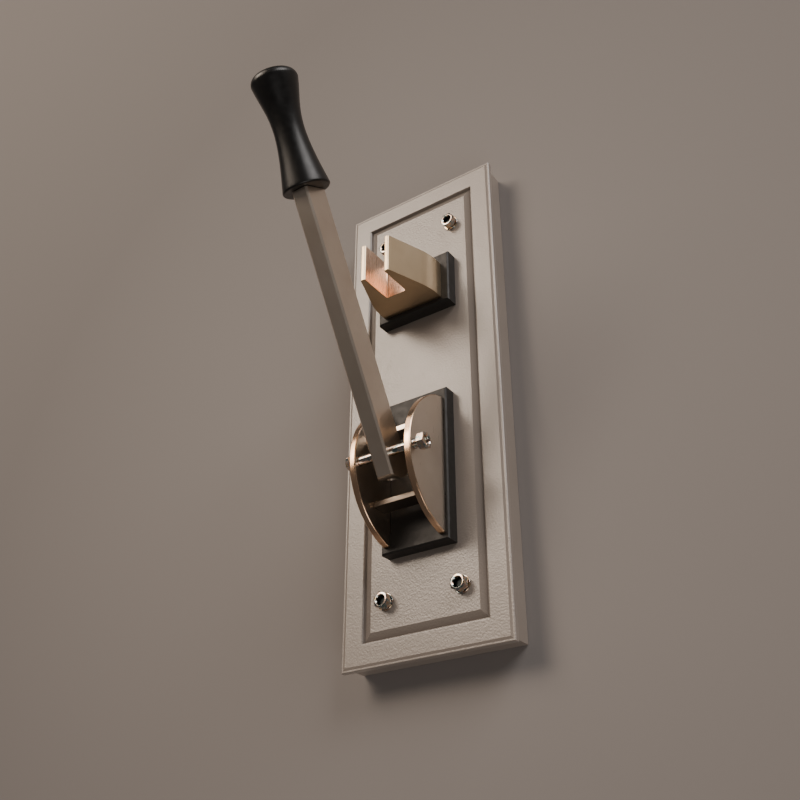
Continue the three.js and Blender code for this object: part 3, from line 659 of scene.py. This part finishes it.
class KNIFE_OT_back_box(bpy.types.Operator):
    """Back box with bosses, keyholes and its rubber grommet"""

    bl_idname = "knife.back_box"
    bl_label = "Back Box"

    def execute(self, context):
        looks = context.scene.knife_switch
        paint = enamel_paint("enamel_on_folded_box", looks.enamel_colour, looks.enamel_shade, 0.5)
        mesh = soften(cad_copy("back_box"), looks.paint_round, 2, 40)
        finish_piece(mesh, "back_box_folded", BASE, "paint", paint, "back_box")
        mesh = soften(cad_copy("cable_grommet"), 0.25, 2, 40)
        finish_piece(mesh, "cable_grommet_moulded", BASE, "rubber", soft_rubber(), "cable_grommet")
        return {"FINISHED"}


class KNIFE_OT_panel_fasteners(bpy.types.Operator):
    """Four studs, each with a washer and a chamfered hexagonal nut"""

    bl_idname = "knife.panel_fasteners"
    bl_label = "Panel Fasteners"

    def execute(self, context):
        plate = bright_plating()
        blacked = blacked_steel()
        for i in range(1, 5):
            low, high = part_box(f"panel_nut_{i}")
            where = middle(f"panel_nut_{i}")
            nut = hexagon_nut(NUT_FLATS, (high.y - low.y) / MM, THREAD_MM + 0.2)
            turn = Matrix.Rotation(math.radians(NUT_TURNS[i - 1]), 4, "Z")
            placed(nut, out_of_wall(where.x, high.y, where.z) @ turn)
            finish_piece(nut, f"panel_nut_{i}_plated", BASE, "chrome", plate, f"panel_nut_{i}")

            low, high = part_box(f"panel_washer_{i}")
            outer = (high.x - low.x) / 2 / MM
            thick = (high.y - low.y) / MM
            ring = turned(washer_profile(outer, THREAD_MM / 2 + 0.3, thick))
            placed(ring, out_of_wall(where.x, high.y, where.z))
            finish_piece(ring, f"panel_washer_{i}_plated", BASE, "chrome", plate, f"panel_washer_{i}")

            low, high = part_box(f"panel_stud_{i}")
            length = (high.y - low.y) / MM
            stud = turned(thread_profile(THREAD_MM, length, THREAD_PITCH, 8), 40)
            placed(stud, out_of_wall(where.x, high.y, where.z))
            finish_piece(stud, f"panel_stud_{i}_threaded", BASE, "chrome", blacked, f"panel_stud_{i}")
        return {"FINISHED"}


class KNIFE_OT_blocks(bpy.types.Operator):
    """Two phenolic blocks that insulate the jaw and the hinge from the plate"""

    bl_idname = "knife.blocks"
    bl_label = "Insulating Blocks"

    def execute(self, context):
        board = moulded_phenolic()
        for node in ("jaw_block", "hinge_block"):
            mesh = soften(cad_copy(node), 0.22, 2, 30)
            finish_piece(mesh, f"{node}_moulded", BASE, "phenolic", board, node)
        return {"FINISHED"}


class KNIFE_OT_contact_jaw(bpy.types.Operator):
    """Forked contact jaw that the blade closes into"""

    bl_idname = "knife.contact_jaw"
    bl_label = "Contact Jaw"

    def execute(self, context):
        alloy = copper_alloy("belt_finished_copper_alloy", tones=("#d8c4a6", "#cdb797"))
        # Painted tone: the faces inside the slot take a lighter, pinker alloy than the rest of the jaw,
        # standing in for light bouncing between them.
        slot_painted_tone = copper_alloy("copper_alloy_slot_painted_tone", rough_low=0.22, tones=("#dfc0ab", "#e8cdb9"))
        mesh = soften(cad_copy("contact_jaw"), context.scene.knife_switch.edge_round, 2, 40)
        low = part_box("contact_jaw")[0]
        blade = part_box("blade")[1].x
        finish_piece(
            mesh, "contact_jaw_finished", BASE, "bronze", alloy, "contact_jaw", smooth=24,
            edge_finish=slot_painted_tone,
            is_edge=lambda face: (
                abs(face.calc_center_median().x) < 1.6 * blade
                and face.normal.z ** 2 < 0.1
                and face.calc_center_median().y > low.y + 1.0 * MM
            ),
        )
        return {"FINISHED"}


class KNIFE_OT_cheeks(bpy.types.Operator):
    """Hinge cheeks, the two cross bars between them and the base plate behind the block"""

    bl_idname = "knife.cheeks"
    bl_label = "Hinge Cheeks"

    def execute(self, context):
        looks = context.scene.knife_switch
        alloy = copper_alloy("rolled_copper_alloy_cheek")
        # Painted reflection tone: the rim takes a warmer copper than the cheek faces, so that its highlights
        # run from cream to copper-pink as coloured reflections would.
        rim = copper_alloy("buffed_copper_alloy_rim_with_painted_tone", rough_low=0.15, tones=("#e0b897", "#f0cfae"))
        for node in ("cheek_left", "cheek_right"):
            mesh = soften(cad_copy(node), looks.edge_round, 2, 30)
            finish_piece(mesh, f"{node}_finished", BASE, "bronze", alloy, node, edge_finish=rim)
        bar = copper_alloy("drawn_copper_alloy_bar", along=(0.02, 1, 1))
        # Painted shade: the lower bar takes a dark brown-grey alloy, standing in for the shade and dim
        # reflection it has below the blade's tail.
        dull = copper_alloy(
            "copper_alloy_bar_painted_dark", along=(0.02, 1, 1), rough_low=0.34, tones=("#6f655b", "#857a6f"),
        )
        for node, finish in (("cross_bar_upper", bar), ("cross_bar_lower", dull)):
            mesh = soften(cad_copy(node), looks.edge_round, 2, 40)
            finish_piece(mesh, f"{node}_finished", BASE, "bronze", finish, node)
        mesh = soften(cad_copy("hinge_base_plate"), looks.edge_round * 0.5, 1, 40)
        finish_piece(mesh, "hinge_base_plate_finished", BASE, "bronze", bar, "hinge_base_plate")
        return {"FINISHED"}


class KNIFE_OT_hidden_fixings(bpy.types.Operator):
    """Screws, sleeves, washers, nuts and terminal studs inside the back box"""

    bl_idname = "knife.hidden_fixings"
    bl_label = "Hidden Fixings"

    def execute(self, context):
        zinc = zinc_plate()
        brass = turned_brass()
        board = bpy.data.materials["moulded_phenolic"]
        for node in [f"jaw_screw_{i}" for i in (1, 2)] + [f"hinge_screw_{i}" for i in range(1, 5)]:
            low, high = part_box(node)
            where = middle(node)
            screw = turned(screw_profile((high.x - low.x) / 2 / MM, 2, (high.y - low.y) / MM), 32)
            placed(screw, out_of_wall(where.x, high.y, where.z))
            finish_piece(screw, f"{node}_zinc", BASE, "steel", zinc, node)
        for side in ("jaw", "hinge"):
            node = f"{side}_terminal_nut"
            low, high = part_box(node)
            where = middle(node)
            nut = hexagon_nut((high.x - low.x) / MM, (high.y - low.y) / MM, 8.2)
            turn = Matrix.Rotation(math.radians(30), 4, "Z")
            placed(nut, out_of_wall(where.x, high.y, where.z) @ turn)
            finish_piece(nut, f"{node}_zinc", BASE, "steel", zinc, node)
            node = f"{side}_terminal_washer"
            low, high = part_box(node)
            ring = turned(washer_profile((high.x - low.x) / 2 / MM, 4.3, (high.y - low.y) / MM))
            placed(ring, out_of_wall(where.x, high.y, where.z))
            finish_piece(ring, f"{node}_zinc", BASE, "steel", zinc, node)
            node = f"{side}_terminal_stud"
            low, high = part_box(node)
            length = (high.y - low.y) / MM
            stud = turned(thread_profile((high.x - low.x) / MM, length, 1.25, length - 2), 40)
            placed(stud, out_of_wall(where.x, high.y, where.z))
            finish_piece(stud, f"{node}_brass", BASE, "brass", brass, node)
            node = f"{side}_sleeve"
            mesh = soften(cad_copy(node), 0.15, 1, 40)
            finish_piece(mesh, f"{node}_moulded", BASE, "phenolic", board, node)
        return {"FINISHED"}


class KNIFE_OT_pivot(bpy.types.Operator):
    """Cross rod that turns with the blade, and the nut at each end of it"""

    bl_idname = "knife.pivot"
    bl_label = "Pivot Rod"

    def execute(self, context):
        plate = bright_plating("bright_nickel_plate_rod")
        low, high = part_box("pivot_rod")
        left, right = -low.x / MM, high.x / MM
        radius = THREAD_MM / 2
        upper = thread_profile(THREAD_MM, right, THREAD_PITCH, 6)[3:]
        lower = [(r, -z) for r, z in reversed(thread_profile(THREAD_MM, left, THREAD_PITCH, 2)[3:])]
        rod = turned([*lower, (radius, 0), *upper], 48)
        placed(rod, Matrix.Translation(PIVOT) @ Matrix.Rotation(math.pi / 2, 4, "Y"))
        finish_piece(rod, "pivot_rod_plated", LEVER, "chrome", plate, "pivot_rod")
        for node, side in (("pivot_nut_left", -1), ("pivot_nut_right", 1)):
            low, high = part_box(node)
            nut = hexagon_nut(NUT_FLATS, (high.x - low.x) / MM, THREAD_MM + 0.2)
            inner = high.x if side < 0 else low.x
            turn = Matrix.Rotation(side * math.pi / 2, 4, "Y")
            turn = turn @ Matrix.Rotation(math.radians(PIVOT_NUT_TURN), 4, "Z")
            placed(nut, Matrix.Translation((inner, PIVOT.y, PIVOT.z)) @ turn)
            finish_piece(nut, f"{node}_plated", LEVER, "chrome", plate, node)
        return {"FINISHED"}


class KNIFE_OT_blade(bpy.types.Operator):
    """Bar blade with bevelled edges and a rounded tail, and the set screw inside it"""

    bl_idname = "knife.blade"
    bl_label = "Blade"

    def execute(self, context):
        turn = (-math.atan2(-UP.y, UP.z), 0, 0)
        alloy = copper_alloy("drawn_copper_alloy_blade", turn=turn, centre=PIVOT)
        mesh = soften(cad_copy("blade"), 0.25, 2, 28)
        finish_piece(mesh, "blade_finished", LEVER, "bronze", alloy, "blade")
        mesh = soften(cad_copy("blade_set_screw"), 0.3, 1, 40)
        finish_piece(mesh, "blade_set_screw_zinc", LEVER, "steel", bpy.data.materials["zinc_plated_steel"],
                     "blade_set_screw")
        return {"FINISHED"}


class KNIFE_OT_handle(bpy.types.Operator):
    """Turned grip with a waist, a flared crown and a rounded rim, and its threaded insert"""

    bl_idname = "knife.handle"
    bl_label = "Handle"

    def execute(self, context):
        base, top, radius = grip_ends()
        length = (top - base).length / MM
        waist, waist_at, crown, rim, dome = 8.4, 34.0, 4.6, 1.0, 0.8
        crown_at = length - dome - crown
        run = crown_at - waist_at
        bore = 4.3
        outline = [
            (bore, 3), (bore, 0.4), (bore + 0.4, 0),
            *arc(radius - rim, rim, rim, -90, 0, 6),
            *curve(((radius, rim), (radius - 1.7, waist_at * 0.29), (waist + 0.1, waist_at * 0.65),
                    (waist, waist_at)), 22)[1:],
            *curve(((waist, waist_at), (waist + 0.3, waist_at + run * 0.44),
                    (radius - 2.4, waist_at + run * 0.54), (radius, crown_at)), 22)[1:],
            *arc(radius - crown, crown_at, crown, 0, 78, 10)[1:],
            *curve(((radius - crown + 0.9, length - dome + 0.02), (5.5, length - 0.25), (2.5, length),
                    (0, length)), 6)[1:],
        ]
        inner = [(0, 3)]
        mesh = turned(inner + outline, 96)
        matrix = Matrix.Translation(base) @ (LEVER_FRAME.to_3x3().to_4x4())
        placed(mesh, matrix)
        finish_piece(mesh, "handle_turned", LEVER, "black_plastic", lacquered_grip(), "handle", smooth=40)
        mesh = soften(cad_copy("handle_insert"), 0.2, 1, 40)
        finish_piece(mesh, "handle_insert_brass", LEVER, "brass", bpy.data.materials["turned_brass"],
                     "handle_insert")
        return {"FINISHED"}


class KNIFE_OT_stage(bpy.types.Operator):
    """Plain wall, soft key light, even fill and the camera"""

    bl_idname = "knife.stage"
    bl_label = "Stage"

    def execute(self, context):
        looks = context.scene.knife_switch
        wall = sheet("wall", WALL_SIZE, wall_paint(looks.wall_colour))
        wall.data.transform(Matrix.Translation((0, WALL_GAP * MM, 0)) @ Matrix.Rotation(math.pi / 2, 4, "X"))
        self.lamp("key_light", (-1.15, -1.9, 1.4), 1.5, looks.key_watts, "#ffecd8")
        self.lamp("key_core", (-1.13, -1.9, 1.28), 0.6, looks.key_watts * 0.26, "#ffecd8")
        self.lamp("side_light", (2.2, -1.2, 2.0), 1.8, looks.key_watts * 1.8, "#f6f1ee")
        self.lamp("floor_bounce", (1.1, -0.9, -1.7), 1.2, looks.key_watts * 0.36, "#f3ece6")
        world = bpy.data.worlds.new("room")
        context.scene.world = world
        world.use_nodes = True
        ambient = world.node_tree.nodes["Background"]
        ambient.inputs["Color"].default_value = linear("#cfc8c4")
        ambient.inputs["Strength"].default_value = looks.fill_strength
        self.camera(context, looks)
        return {"FINISHED"}

    def lamp(self, name, place, size, watts, colour):
        """A square area light that faces the middle of the switch."""
        data = bpy.data.lights.new(name, "AREA")
        data.size = size
        data.energy = watts
        data.color = linear(colour)[:3]
        lamp = bpy.data.objects.new(name, data)
        lamp.location = place
        lamp.rotation_euler = (-Vector(place)).to_track_quat("-Z", "Y").to_euler()
        bpy.context.scene.collection.objects.link(lamp)

    def camera(self, context, looks):
        """A camera on a line to the aim point, turned by its azimuth and elevation."""
        azimuth, elevation = looks.camera_azimuth, looks.camera_elevation
        back = Vector((
            math.sin(azimuth) * math.cos(elevation),
            -math.cos(azimuth) * math.cos(elevation),
            math.sin(elevation),
        ))
        data = bpy.data.cameras.new("studio_camera")
        data.sensor_width = 36
        data.lens = CAMERA_LENS
        data.clip_start = 0.01
        camera = bpy.data.objects.new("studio_camera", data)
        camera.location = Vector(CAMERA_AIM) + back * CAMERA_DISTANCE
        turn = (-back).to_track_quat("-Z", "Y") @ Euler((0, 0, math.radians(CAMERA_ROLL))).to_quaternion()
        camera.rotation_euler = turn.to_euler()
        context.scene.collection.objects.link(camera)
        context.scene.camera = camera


PIECE_OPERATORS = (
    KNIFE_OT_cover_plate,
    KNIFE_OT_back_box,
    KNIFE_OT_panel_fasteners,
    KNIFE_OT_blocks,
    KNIFE_OT_contact_jaw,
    KNIFE_OT_cheeks,
    KNIFE_OT_hidden_fixings,
    KNIFE_OT_pivot,
    KNIFE_OT_blade,
    KNIFE_OT_handle,
    KNIFE_OT_stage,
)


class KNIFE_PT_panel(bpy.types.Panel):
    """Lists the settings and an operator for each piece"""

    bl_label = "Knife Switch"
    bl_idname = "KNIFE_PT_panel"
    bl_space_type = "VIEW_3D"
    bl_region_type = "UI"
    bl_category = "Knife Switch"

    def draw(self, context):
        looks = context.scene.knife_switch
        for name in KnifeSwitchSettings.__annotations__:
            self.layout.prop(looks, name)
        for operator in PIECE_OPERATORS:
            self.layout.operator(operator.bl_idname)


CLASSES = (KnifeSwitchSettings, *PIECE_OPERATORS, KNIFE_PT_panel)


def register():
    for cls in CLASSES:
        bpy.utils.register_class(cls)
    bpy.types.Scene.knife_switch = PointerProperty(type=KnifeSwitchSettings)


def unregister():
    del bpy.types.Scene.knife_switch
    for cls in reversed(CLASSES):
        bpy.utils.unregister_class(cls)


def main():
    register()
    for operator in (KNIFE_OT_stage, *PIECE_OPERATORS[:-1]):
        group, name = operator.bl_idname.split(".")
        getattr(getattr(bpy.ops, group), name)()


if __name__ == "__main__":
    main()
